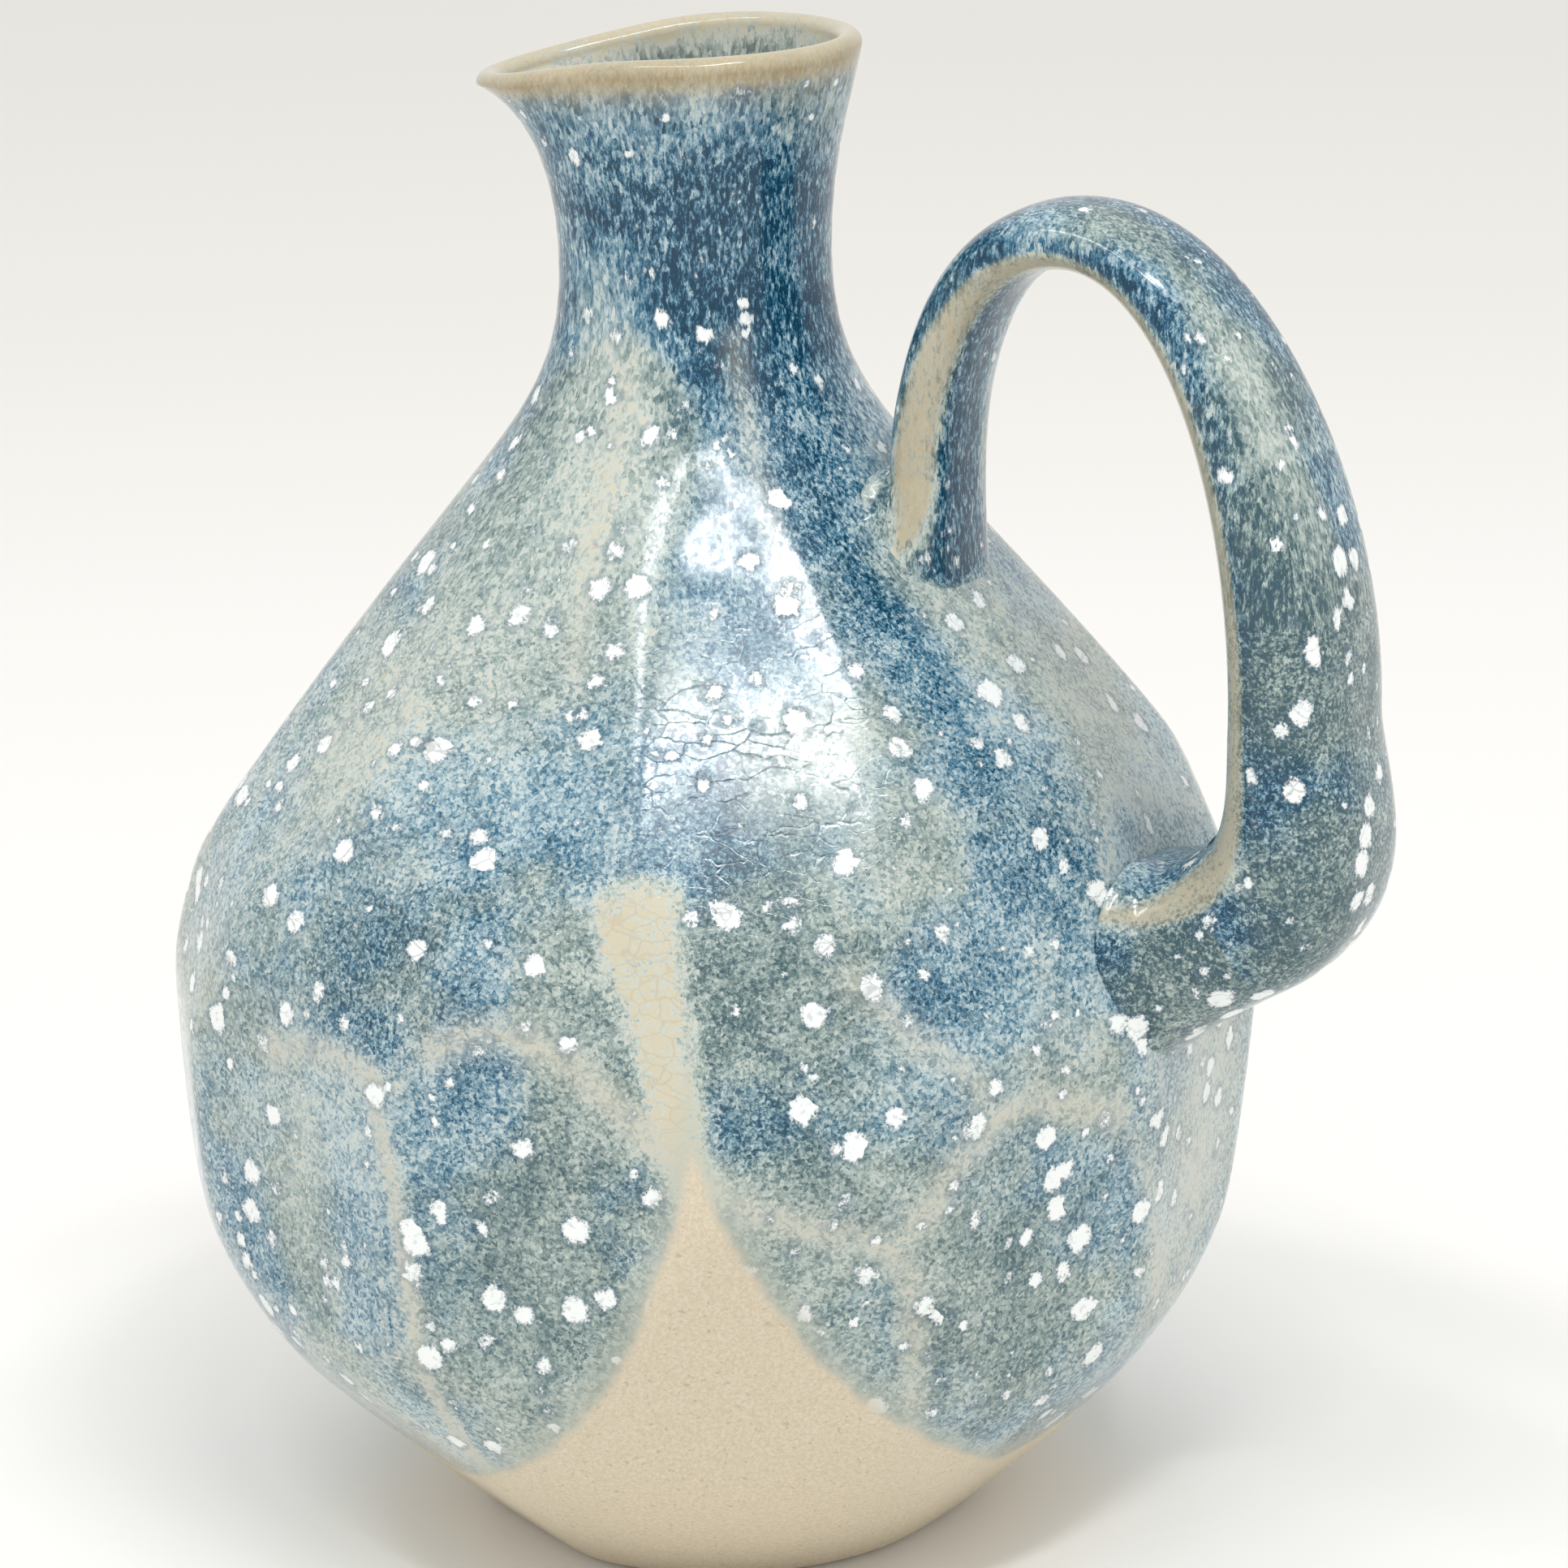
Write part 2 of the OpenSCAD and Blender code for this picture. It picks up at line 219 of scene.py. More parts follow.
# One closed mesh from stacked rings: quads between rings, and either a last band back to the first ring
# or a fan to a middle point at each end. The rings in creases stay sharp.
def ringMesh(name, points, creases, poles=False):
    rows, columns = points.shape[:2]
    index = np.arange(rows * columns).reshape(rows, columns)
    bands = rows - 1 if poles else rows
    low, high = index[:bands], np.roll(index, -1, axis=0)[:bands]
    quads = np.stack([low, np.roll(low, -1, axis=1), np.roll(high, -1, axis=1), high], axis=-1).reshape(-1, 4)
    vertices, fans = points.reshape(-1, 3), np.zeros((0, 3), int)
    if poles:
        startTip, endTip = np.full(columns, len(vertices)), np.full(columns, len(vertices) + 1)
        vertices = np.concatenate([vertices, points[:1].mean(axis=1), points[-1:].mean(axis=1)])
        startFan = np.stack([startTip, np.roll(index[0], -1), index[0]], axis=-1)
        endFan = np.stack([endTip, index[-1], np.roll(index[-1], -1)], axis=-1)
        fans = np.concatenate([startFan, endFan])
    corners = np.concatenate([quads.reshape(-1), fans.reshape(-1)])
    starts = np.concatenate([np.arange(len(quads)) * 4, len(quads) * 4 + np.arange(len(fans)) * 3])
    mesh = bpy.data.meshes.new(name)
    mesh.vertices.add(len(vertices))
    mesh.vertices.foreach_set("co", (vertices * mm).reshape(-1))
    mesh.loops.add(len(corners))
    mesh.loops.foreach_set("vertex_index", corners)
    mesh.polygons.add(len(starts))
    mesh.polygons.foreach_set("loop_start", starts)
    mesh.update(calc_edges=True)
    mesh.shade_smooth()
    ends = np.zeros(len(mesh.edges) * 2, int)
    mesh.edges.foreach_get("vertices", ends)
    ring = ends.reshape(-1, 2) // columns
    sharp = (ring[:, 0] == ring[:, 1]) & np.isin(ring[:, 0], creases)
    mesh.attributes.new("sharp_edge", "BOOLEAN", "EDGE").data.foreach_set("value", sharp)
    print(name, "made with", len(mesh.polygons), "faces")
    return newObject(name, mesh)


# Fields of the glaze, as they are where nothing is drawn: distance above its edge and outside wiped places,
# depth, grey-green, pale ridges, toasted edges
evenGlaze = {"glazeHeight": 20, "stripDistance": 20, "pool": 0, "sage": 0, "pale": 0, "toast": 0}


# Writes each field at every vertex. The middle points that close an end take the mean.
def setGlaze(piece, shape, **given):
    for name, even in evenGlaze.items():
        values = np.broadcast_to(given.get(name, even), shape).reshape(-1)
        spare = len(piece.data.vertices) - len(values)
        values = np.append(values, np.full(spare, values.mean())).astype(np.float32)
        piece.data.attributes.new(name, "FLOAT", "POINT").data.foreach_set("value", values)


# Glaze on the body

glazeEdge = {
    "height": 12,  # the glaze stops this far above the table
    "tongue": 58,  # and this much higher over the bare flat in front
    "turn": -64,  # degrees round the axis
    "sides": [13, 19],  # fall of the edge to the left and right, in degrees
    "wave": 1.6,
}
wipedStrip = {
    "foot": [-64.3, 65, 0.7],  # degrees round the axis, height, half width
    "head": [-69.6, 90, 3.7],
    "tail": [6, 3],  # length below the foot, and how sharply it ends
}
# Pools and thin places: degrees round the axis, height, half size across and up, depth of glaze
glazePools = [
    [-61, 99, 8, 7, 0.4], [-92, 90, 14, 7, 0.25], [-104, 80, 10, 8, 0.5], [-20, 94, 9, 8, 0.6],
    [-29, 118, 6, 14, 0.6], [-48, 122, 9, 10, 0.35], [-89, 70, 9, 7, 0.3], [-56, 69, 8, 7, 0.3],
    [-74, 58, 9, 9, 0.2], [-37, 84, 9, 6, 0.3], [-66, 152, 9, 8, 0.6], [-20, 142, 8, 16, 0.3],
    [-45, 165, 20, 5, 0.4], [-97, 146, 8, 12, -1.4], [5, 45, 14, 28, -0.5], [-136, 76, 20, 26, -0.4],
    [-84, 133, 6, 10, -0.5], [-100, 114, 14, 12, -0.5], [-62, 84, 14, 16, 0.2], [8, 62, 12, 14, -0.4],
    [10, 104, 22, 18, -0.4], [-120, 108, 10, 8, -0.5], [-37, 108, 6, 10, -0.35], [-8, 114, 9, 7, -0.35],
    [-32, 93, 9, 6, -0.35], [-112, 60, 10, 16, -0.3], [-88, 36, 8, 12, -0.1], [-112, 24, 14, 8, -0.7],
    [60, 95, 16, 12, 0.5], [105, 72, 18, 10, 0.45], [150, 100, 14, 14, 0.5], [175, 66, 14, 9, 0.4],
    [85, 116, 12, 12, -0.4], [130, 112, 14, 9, -0.4], [200, 92, 16, 10, -0.4], [35, 62, 12, 9, 0.4],
]
# Dark glaze round the neck: its depth, and heights as for the finger rings
neckPool = [0.62, [130, 20, 173, 12]]
# Grey-green places, laid out as the pools
sagePatches = [
    [-66, 80, 15, 20, 0.8], [-60, 50, 18, 16, 0.5], [-54, 88, 9, 10, 0.8], [-84, 128, 7, 12, 0.8],
    [-28, 42, 20, 14, 0.7], [-115, 127, 9, 9, 0.5], [-82, 38, 12, 14, 0.6], [-40, 98, 8, 8, 0.4],
    [-75, 82, 8, 10, 0.5], [80, 90, 16, 16, 0.7], [140, 60, 18, 16, 0.7], [190, 112, 14, 10, 0.6],
]
# Ridges where the glaze breaks pale: half width, strength, then degrees round the axis and height along each
paleRidges = [
    [1.9, 0.8, [[-118, 70], [-108, 73], [-99, 71]]],
    [1.3, 1.0, [[-100, 72], [-97, 58], [-96, 40], [-94, 16]]],
    [2.1, 0.9, [[-92, 76], [-87, 79], [-80, 78], [-73, 73], [-66, 66]]],
    [1.9, 0.75, [[-63, 64], [-55, 58], [-47, 56], [-41, 50], [-40, 25]]],
    [2.2, 0.8, [[-41, 56], [-35, 65], [-27, 68], [-15, 62]]],
    [1.9, 0.65, [[-46, 84], [-40, 77], [-33, 70]]],
    [2.0, 0.6, [[-13, 60], [-8, 46], [-4, 33]]],
    [1.7, 0.45, [[-89, 143], [-88, 130], [-84, 114]]],
    [1.7, 0.45, [[-46, 147], [-45, 134], [-44, 122]]],
]
# Paleness of the cut ridges themselves, faint in front, where the lines above are drawn
crestLook = {
    "width": 1.8,
    "sharp": [0.15, 0.3],  # growth of the lead where a ridge turns pale, and over how much
    "strength": 1.1,
    "frontLoss": 0.95,
    "front": [-60, 62],  # degrees round the axis, half width
}


# Bell: e to the power of minus the square of x over the width
def bell(x, width):
    return np.exp(-((x / width) ** 2))


# Degrees between a turn and a direction, from -180 to 180
def turnFrom(turn, degrees):
    return (np.degrees(turn) - degrees + 180) % 360 - 180


# Distance above the glaze's lower edge: height over the edge line, divided by the length of its slope
def glazeHeight(turn, height, radius):
    away = turnFrom(turn, glazeEdge["turn"])
    width = np.where(away < 0, *glazeEdge["sides"])
    tongue = glazeEdge["tongue"] * np.exp(-np.abs(away) / width)
    wave = glazeEdge["wave"] * (np.sin(3 * turn + 1) + np.sin(7 * turn))
    slope = tongue / width / np.maximum(np.radians(radius), 0.1)
    over = (height - glazeEdge["height"] - wave - tongue) / np.sqrt(1 + slope**2)
    return np.clip(over, -evenGlaze["glazeHeight"], evenGlaze["glazeHeight"])


# Distance outside the wiped strip: away from its middle line, less a half width that grows up the strip
def stripDistance(turn, height, radius):
    foot, head = wipedStrip["foot"], wipedStrip["head"]
    share = np.clip((height - foot[1]) / (head[1] - foot[1]), 0, 1)
    across = np.radians(turnFrom(turn, foot[0] + (head[0] - foot[0]) * share)) * radius
    length, sharpness = wipedStrip["tail"]
    beyond = np.maximum(height - head[1], 0) + sharpness * np.maximum(foot[1] - length - height, 0)
    return np.hypot(across, beyond) - (foot[2] + (head[2] - foot[2]) * share)


# Sum of a bell for each entry of a list of patches
def bellSum(patches, turn, height, radius):
    total = np.zeros_like(height)
    for degrees, z, across, up, amount in patches:
        sideways = np.radians(turnFrom(turn, degrees)) * radius
        total += amount * bell(sideways, across) * bell(height - z, up)
    return total


# Depth of the glaze on the body: the pools and the band round the neck
def bodyDepth(turn, height, radius):
    depth, band = neckPool
    return bellSum(glazePools, turn, height, radius) + depth * bandOf(height, *band)


# Paleness of the hand-cut ridges: the lead of the lowest level over the second, divided by how fast that lead
# grows, is the distance to the ridge, and a bell of it is scaled by the sharpness and by slow waves
def crestPaleness(points):
    turn, height, _ = placeOf(points)
    two = np.partition(wallLevels(turn, height), 1, axis=-1)[..., :2]
    lead = two[..., 1] - two[..., 0]
    upStep = np.linalg.norm(np.gradient(points, axis=0), axis=-1)
    sideStep = np.linalg.norm(np.gradient(points, axis=1), axis=-1)
    growth = np.hypot(np.gradient(lead, axis=0) / upStep, np.gradient(lead, axis=1) / sideStep)
    distance = lead / np.maximum(growth, 0.05)
    least, stretch = crestLook["sharp"]
    sharpness = np.clip((growth - least) / stretch, 0, 1)
    slow = 0.5 + 0.5 * np.sin(3 * turn + 0.09 * height) * np.sin(2 * turn - 0.13 * height + 1)
    middle, width = crestLook["front"]
    strength = crestLook["strength"] - crestLook["frontLoss"] * bell(turnFrom(turn, middle), width)
    return sharpness * bell(distance, crestLook["width"]) * slow * strength


# Cuts every corner of a line at a quarter and three quarters of its legs, twice
def roundedLine(line):
    for _ in range(2):
        first, second = line[:-1], line[1:]
        cut = np.stack([0.75 * first + 0.25 * second, 0.25 * first + 0.75 * second], axis=1).reshape(-1, 2)
        line = np.concatenate([line[:1], cut, line[-1:]])
    return line


# Paleness of the drawn ridges: a bell of the distance to the nearest leg of each line
def drawnPaleness(points):
    paleness = np.zeros(points.shape[:-1])
    for width, strength, line in paleRidges:
        degrees, height = roundedLine(np.array(line, float)).T
        turn = np.radians(degrees)
        corners = polar(bodyRadius(turn, height), turn, height)
        nearest = np.full(points.shape[:-1], np.inf)
        for first, second in zip(corners[:-1], corners[1:]):
            leg = second - first
            share = np.clip((points - first) @ leg / (leg @ leg), 0, 1)
            nearest = np.minimum(nearest, np.linalg.norm(points - first - share[..., None] * leg, axis=-1))
        paleness = np.maximum(paleness, strength * bell(nearest, width))
    return paleness


# Fields of the glaze on an outer wall, with even ones on its inner wall
def glazeBody(piece, outside, innerCount):
    place = placeOf(outside)
    fields = {
        "glazeHeight": glazeHeight(*place),
        "stripDistance": np.minimum(stripDistance(*place), evenGlaze["stripDistance"]),
        "pool": bodyDepth(*place),
        "sage": bellSum(sagePatches, *place),
        "pale": np.maximum(crestPaleness(outside), drawnPaleness(outside)),
    }
    inner = dict(evenGlaze, sage=thrownBody["innerSage"])
    for name, values in fields.items():
        fields[name] = np.append(values, np.full(innerCount, inner[name]))
    setGlaze(piece, fields["pool"].shape, **fields)


# Clay sections of the body

def wallPiece(name, node, low, high):
    columns = thrownBody["columns"]
    outside, _, _ = gridOf(bodyOutside, ringsBetween(low, high, thrownBody["rowStep"]), columns)
    inside, _, _ = gridOf(bodyInside, ringsBetween(low, high, thrownBody["innerStep"])[::-1], columns)
    rows, innerRows = len(outside), len(inside)
    piece = ringMesh(name, np.concatenate([outside, inside]), [0, rows - 1, rows, rows + innerRows - 1])
    glazeBody(piece, outside, innerRows * columns)
    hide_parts(node)
    return piece


footForm = {
    "edge": 1.2,  # radius of the worn edge where the side meets the base
    "roundness": 0.98,  # under one, so that the round never lies quite level
    "edgeRings": 8,
    "baseRings": 30,
}


# Side of the foot: the body's outside, drawn in at the very bottom by a quarter round
def footSide(u, turn):
    points = bodyOutside(u, turn)
    drop = np.clip(1 - points[..., 2] / footForm["edge"], 0, 1)
    inset = footForm["edge"] * (1 - np.sqrt(1 - drop**2 * footForm["roundness"]))
    return polar(placeOf(points)[2] - inset, turn, points[..., 2])


def footPiece():
    columns = thrownBody["columns"]
    edgeEnd = np.interp(footForm["edge"], finePoint[:, 1], fineU)
    edgeRows = np.linspace(0, edgeEnd, footForm["edgeRings"], endpoint=False)
    sideRows = np.append(edgeRows, ringsBetween(footForm["edge"], floorTop, thrownBody["rowStep"]))
    side, _, _ = gridOf(footSide, sideRows, columns)
    shares = np.linspace(0, 1, footForm["baseRings"], endpoint=False)[1:, None, None]
    level = np.array([1, 1, 0])
    under = side[0] * level * shares
    above = side[-1] * level * shares[::-1] + np.array([0, 0, floorTop])
    every = np.concatenate([under, side, above])
    piece = ringMesh("foot_slab_clay", every, [len(under), len(under) + len(side) - 1], poles=True)
    setGlaze(piece, every.shape[:2], glazeHeight=glazeHeight(*placeOf(every)))
    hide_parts("foot_slab")
    return piece


# Pouring lip

lipForm = {
    "thick": 3, "reach": 5, "droop": 4, "pinch": 1.2, "turn": 197,
    "spoutWidth": 34,  # degrees to each side
    "droopWidth": 55,
    "pinchTurn": 62,
    "pinchWidth": 26,
    "startPower": 2.4,  # how late the spout leaves the round of the neck
    "marksEnd": [1.04, 0.2],  # end of the hand's marks on the rim, and their fading
    "wallRings": 44,
    "rollRings": 16,
}
lipGlaze = {
    "rimGap": 1.0,  # the wall counts as wiped to this far below the rim
    "rollThin": -3,  # distance inside the thin glaze over the rim
    "innerRun": 12,  # distance outside it at the bottom of the inner wall
    "innerSage": 0.6,
    "toast": [1.35, 4.6],  # strength below the rim, and how far down it reaches
    "innerToast": 0.3,
    "rollToastEnd": 1.8,  # how far over the rim the toasted edge goes
}


# Lip: along 0 to 1 up the outer wall, 1 to 2 over the half-round rim, 2 to 3 down the inner wall.
# The spout pushes the wall out and down by bells of the turn from it, grown by a power of the height.
def lipSurface(along, turn):
    v = np.where(along <= 1, along, np.where(along <= 2, 1, 3 - along))
    roll = np.pi * np.clip(along - 1, 0, 1)
    point = cubicCurve(profile, 3 + v)[0]
    away = np.abs(turnFrom(turn, lipForm["turn"]))
    grow = v ** lipForm["startPower"]
    push = lipForm["reach"] * bell(away, lipForm["spoutWidth"])
    draw = lipForm["pinch"] * bell(away - lipForm["pinchTurn"], lipForm["pinchWidth"])
    wall = thrownBody["neckWall"] + (lipForm["thick"] - thrownBody["neckWall"]) * v
    inset = np.where(along <= 2, lipForm["thick"] * (1 - np.cos(roll)) / 2, wall)
    radius = point[..., 0] + (push - draw) * grow - inset
    height = point[..., 1] - lipForm["droop"] * bell(away, lipForm["droopWidth"]) * grow
    end, stretch = lipForm["marksEnd"]
    marks = handMarks(turn, point[..., 1]) * np.clip((end - along) / stretch, 0, 1)
    return polar(radius - marks, turn, height + lipForm["thick"] * np.sin(roll) / 2)


def lipPiece():
    wall = np.linspace(0, 1, lipForm["wallRings"], endpoint=False)
    roll = np.linspace(1, 2, lipForm["rollRings"], endpoint=False)
    rows = np.concatenate([wall, roll, np.linspace(2, 3, lipForm["wallRings"])])
    points, along, _ = gridOf(lipSurface, rows, thrownBody["columns"])
    piece = ringMesh("pouring_lip_glazed", points, [0, len(rows) - 1])
    below = (1 - np.minimum(along, 1)) * (points[..., 2].max() - waistTop)
    inside = np.clip(along - 2, 0, 1)
    outer = along < 1
    strength, reach = lipGlaze["toast"]
    rollToast = lipGlaze["innerToast"] * (1 - inside) + np.maximum(lipGlaze["rollToastEnd"] - along, 0)
    rollThin = np.where(along < 2, lipGlaze["rollThin"], lipGlaze["innerRun"] * inside)
    setGlaze(
        piece, along.shape,
        stripDistance=np.where(outer, below - lipGlaze["rimGap"], rollThin),
        pool=np.where(outer, bodyDepth(*placeOf(points)), 0),
        sage=np.where(outer, 0, lipGlaze["innerSage"]),
        toast=np.where(outer, strength * bell(below, reach), rollToast))
    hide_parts("pouring_lip")
    return piece


# Handle

strapForm = {
    "upperDrop": 29.5,  # seat on the shoulder, below the waist of the neck
    "upperRise": 7.5,  # root above that seat
    "upperLean": 3,  # degrees away from the neck
    "lowerRise": 21,  # seat on the belly, above its widest part
    "lowerRun": 8.5,
    "lowerDip": 30,  # degrees below the level
    "arch": [49, 160],  # x and z
    "limb": [76.5, 107],
    "pulls": [[1.15, 1.15], [0.85, 1.2], [0.9, 1.3]],
    "widths": [15.5, 17.4, 26.5, 28],  # at the shoulder, the arch, the outer limb and the belly
    "thicks": [8.5, 7.5, 14.3, 17.5],
    "squares": [2.7, 2.5, 2.4, 2.5],  # how square the section is
    # clay thumbed into the lower inside corner: station, half length, degrees, depth
    "fill": [2.74, 0.4, 345, 2.6],
    "uneven": [0.012, 0.01],  # waves of the hand, as shares of the section
    "evenEnds": 4,  # they grow from nothing over a quarter of the first and last stretch
    "rootPace": 0.036,  # growth of the path's parameter for each millimetre into a root
    "rings": 300,
    "sides": 120,
}


# Way in x and z at an angle above the level
def wayAt(degrees):
    return np.array([math.cos(math.radians(degrees)), math.sin(math.radians(degrees))])


upperZ = waistTop - strapForm["upperDrop"]
lowerZ = thrownBody["bellyZ"] + strapForm["lowerRise"]
upperWay = wayAt(90 - strapForm["upperLean"])
lowerWay = -wayAt(strapForm["lowerDip"])
upperSeat = np.array([thrownRadius(upperZ), upperZ])
lowerSeat = np.array([thrownRadius(lowerZ), lowerZ])
strapPath = curveThrough(
    [upperSeat + upperWay * strapForm["upperRise"], strapForm["arch"], strapForm["limb"],
     lowerSeat - lowerWay * strapForm["lowerRun"]],
    [upperWay, [1, 0], [0, -1], lowerWay], strapForm["pulls"])


# Value between two stations of the strap, eased by 3 t squared - 2 t cubed
def between(values, u):
    values = np.array(values, float)
    i = np.clip(np.floor(u).astype(int), 0, len(values) - 2)
    t = np.clip(u - i, 0, 1)
    return values[i] + (values[i + 1] - values[i]) * (3 * t**2 - 2 * t**3)


# A cosine or sine to the power two over the squareness, with its sign kept
def squaredOff(value, square):
    return np.sign(value) * np.abs(value) ** (2 / square)


# Section round its middle: squared-off cosine times half the thickness, squared-off sine times half the width
def sectionOffsets(angle, width, thick, square):
    return squaredOff(np.cos(angle), square) * thick / 2, squaredOff(np.sin(angle), square) * width / 2


# Point of a section: its middle plus one offset across the way and one along y
def placeSection(centre, way, inwards, sideways):
    way = way / np.linalg.norm(way, axis=-1, keepdims=True)
    x, z = centre[..., 0] + way[..., 1] * inwards, centre[..., 1] - way[..., 0] * inwards
    return np.stack([x, sideways, z], axis=-1)


# Clay in the lower inside corner: a bell along the path times the cosine of the turn from its middle
def cornerFill(u, angle):
    station, length, degrees, deep = strapForm["fill"]
    return deep * bell(u - station, length) * np.maximum(np.cos(angle - math.radians(degrees)), 0)


# Pulled strap: the section carried along the path, with slow waves of the hand along its two edges
def strapSurface(u, angle):
    centre, way = cubicCurve(strapPath, u)
    first, second = strapForm["uneven"]
    waves = first * (1 + np.sin(5.3 * u + 2 * np.sin(angle))) + second * (1 + np.cos(3 * angle + 2.1 * u))
    full = 1 - waves * np.clip(np.minimum(u, 3 - u) * strapForm["evenEnds"], 0, 1)
    sizes = (between(strapForm[k], u) for k in ("widths", "thicks", "squares"))
    inwards, sideways = sectionOffsets(angle, *sizes)
    return placeSection(centre, way, inwards * full + cornerFill(u, angle), sideways * full)


strapGlaze = {
    "edge": [-86, -54, -58, -52],  # degrees round the section where the glaze runs thin, at each station
    "halfWidth": [30, 18, 9, 13],
    "farShare": 0.7,  # half width of the far thin edge, by the near one's
    "gap": 1,  # it is thin and not wiped, so it counts as this far outside
    "toast": [0.75, 0.6],  # strength of the toasted edge, and how far it reaches
    "depth": 0.35,
    # station, degrees round the section, half length, half width in degrees, amount
    "pools": [[0.1, 338, 0.6, 20, 1.6], [0.1, 30, 0.6, 16, -0.7], [0.75, 0, 0.25, 40, 0.3],
              # The entry at station 1.0 and 245 degrees lightens the top of the arch: a painted highlight
              # along it
              [0.8, 215, 0.3, 40, 0.3], [1.0, 245, 0.2, 30, -0.4], [1.4, 282, 0.3, 24, 0.8],
              [1.45, 215, 0.25, 22, -0.8], [1.8, 240, 0.2, 60, 0.25], [2.15, 275, 0.2, 40, 0.9],
              [2.5, 235, 0.2, 60, 0.1], [2.82, 268, 0.1, 20, 0.8], [1.1, 150, 0.3, 40, 0.3],
              [1.0, 200, 0.2, 40, -0.2]],
    "sages": [[1.85, 240, 0.3, 80, 1.2], [2.6, 240, 0.35, 90, 1.3], [0.4, 250, 0.4, 30, 0.9],
              [1.2, 200, 0.2, 40, 0.5]],
}


# Sum of a bell along and round the handle for each entry of a list
def handleBells(patches, along, angle):
    total = np.zeros_like(along)
    for at, degrees, length, width, amount in patches:
        total += amount * bell(along - at, length) * bell(turnFrom(angle, degrees), width)
    return total


# Distance outside the thin edges of the strap, and sums of bells for depth of glaze and grey-green
def strapFields(u, angle):
    inwards, sideways = sectionOffsets(angle, 1, 1, between(strapForm["squares"], u))
    angle = np.arctan2(sideways, inwards)  # as it is seen from the middle of the section
    edge, width = between(strapGlaze["edge"], u), between(strapGlaze["halfWidth"], u)
    size = np.radians(between(strapForm["widths"], u) / 2)
    near = (np.abs(turnFrom(angle, edge)) - width) * size
    far = (np.abs(turnFrom(angle, -edge)) - width * strapGlaze["farShare"]) * size
    depth = strapGlaze["depth"] + handleBells(strapGlaze["pools"], u, angle)
    return np.minimum(near, far), depth, handleBells(strapGlaze["sages"], u, angle)


def glazeHandle(piece, thin, depth, sage):
    strength, reach = strapGlaze["toast"]
    toast = strength * np.clip(reach - thin, 0, 1)
    setGlaze(piece, thin.shape, stripDistance=thin + strapGlaze["gap"], toast=toast, pool=depth, sage=sage)


def strapPiece():
    rows = np.linspace(0, 3, strapForm["rings"])
    points, u, angle = gridOf(strapSurface, rows, strapForm["sides"])
    piece = ringMesh("handle_strap_pulled", points, [0, len(rows) - 1], poles=True)
    glazeHandle(piece, *strapFields(u, angle))
    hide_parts("handle_strap")
    return piece


# Roots. Lumps, pools and grey-green places: share of the length, degrees, half length, half width, amount.
rootForm = {
    "rings": 90,
    "sides": 160,
    "halvings": 24,
    "meetSpread": 0.6,  # share of the spread at which the length is found
    "sink": 0.4,  # how deep the last ring lies in the body
    "sinkPower": 6,  # how late the root bends down to it
    "taperPower": 1.5,
    "blendFrom": 0.7,  # share of the length from which the glaze becomes the body's
}
upperRoot = {
    "name": "upper_root_thumbed",
    "node": "upper_root_coil",
    "station": 0,
    "way": -upperWay,
    "length": 20,
    "spread": 2.6,
    "fillet": 5,
    "taper": 4.6,  # how far the thin edge has closed at the body
    "blend": 0.85,  # how far its glaze has become the body's
    "lumps": [[0.15, 204, 0.18, 17, 0.9], [0.4, 213, 0.18, 17, 1.4], [0.65, 224, 0.17, 17, 1.5],
              [0.9, 240, 0.15, 17, 1.3]],
    "pools": [[0.7, 345, 0.5, 26, 0.8], [0.85, 305, 0.16, 26, 0.9], [0.5, 222, 0.5, 13, -0.9],
              [0.45, 244, 0.3, 9, 1.0]],
    "sages": [[0.5, 270, 0.6, 36, 1.0]],
}
lowerRoot = {
    "name": "lower_root_thumbed",
    "node": "lower_root_coil",
    "station": 3,
    "way": lowerWay,
    "length": 26,
    "spread": 2.6,
    "fillet": 6,
    "taper": 3.5,
    "blend": 0.3,
    "lumps": [[0.84, 340, 0.14, 16, 1.5], [0.86, 320, 0.13, 15, 1.6], [0.88, 300, 0.12, 15, 1.5],
              [0.9, 280, 0.12, 15, 1.2]],
    "pools": [[0.95, 265, 0.2, 26, 1.3], [0.9, 318, 0.1, 20, -0.6], [0.98, 300, 0.05, 40, 0.9],
              [0.3, 275, 0.25, 22, 0.6]],
    "sages": [[0.5, 255, 0.8, 90, 1.2]],
}


# Height of a point over the body's outside, level
def overBody(points):
    turn, height, radius = placeOf(points)
    return radius - bodyRadius(turn, height)


# Section of the root pushed along its way by a length, and out by a spread. The upper root runs against the
# path, and the path's parameter goes on into each root.
def rootSection(root, angle, run, spread):
    station = root["station"]
    side = 1 if station else -1
    width, thick, square = (strapForm[k][station] for k in ("widths", "thicks", "squares"))
    inwards, sideways = sectionOffsets(angle, width + 2 * spread, thick + 2 * spread, square)
    fill = cornerFill(station + side * run * strapForm["rootPace"], angle)
    centre = strapPath[0][station] + root["way"] * run[..., None]
    return placeSection(centre, np.broadcast_to(root["way"], centre.shape), side * (inwards + fill), sideways)


# Length of the root at each angle, found by halving until its spread section meets the body
def rootLengths(root, angle):
    low, high = np.zeros_like(angle), np.full_like(angle, root["length"])
    spread = root["spread"] * rootForm["meetSpread"]
    for _ in range(rootForm["halvings"]):
        mid = (low + high) / 2
        outside = overBody(rootSection(root, angle, mid, spread)) > 0
        low, high = np.where(outside, mid, low), np.where(outside, high, mid)
    return low


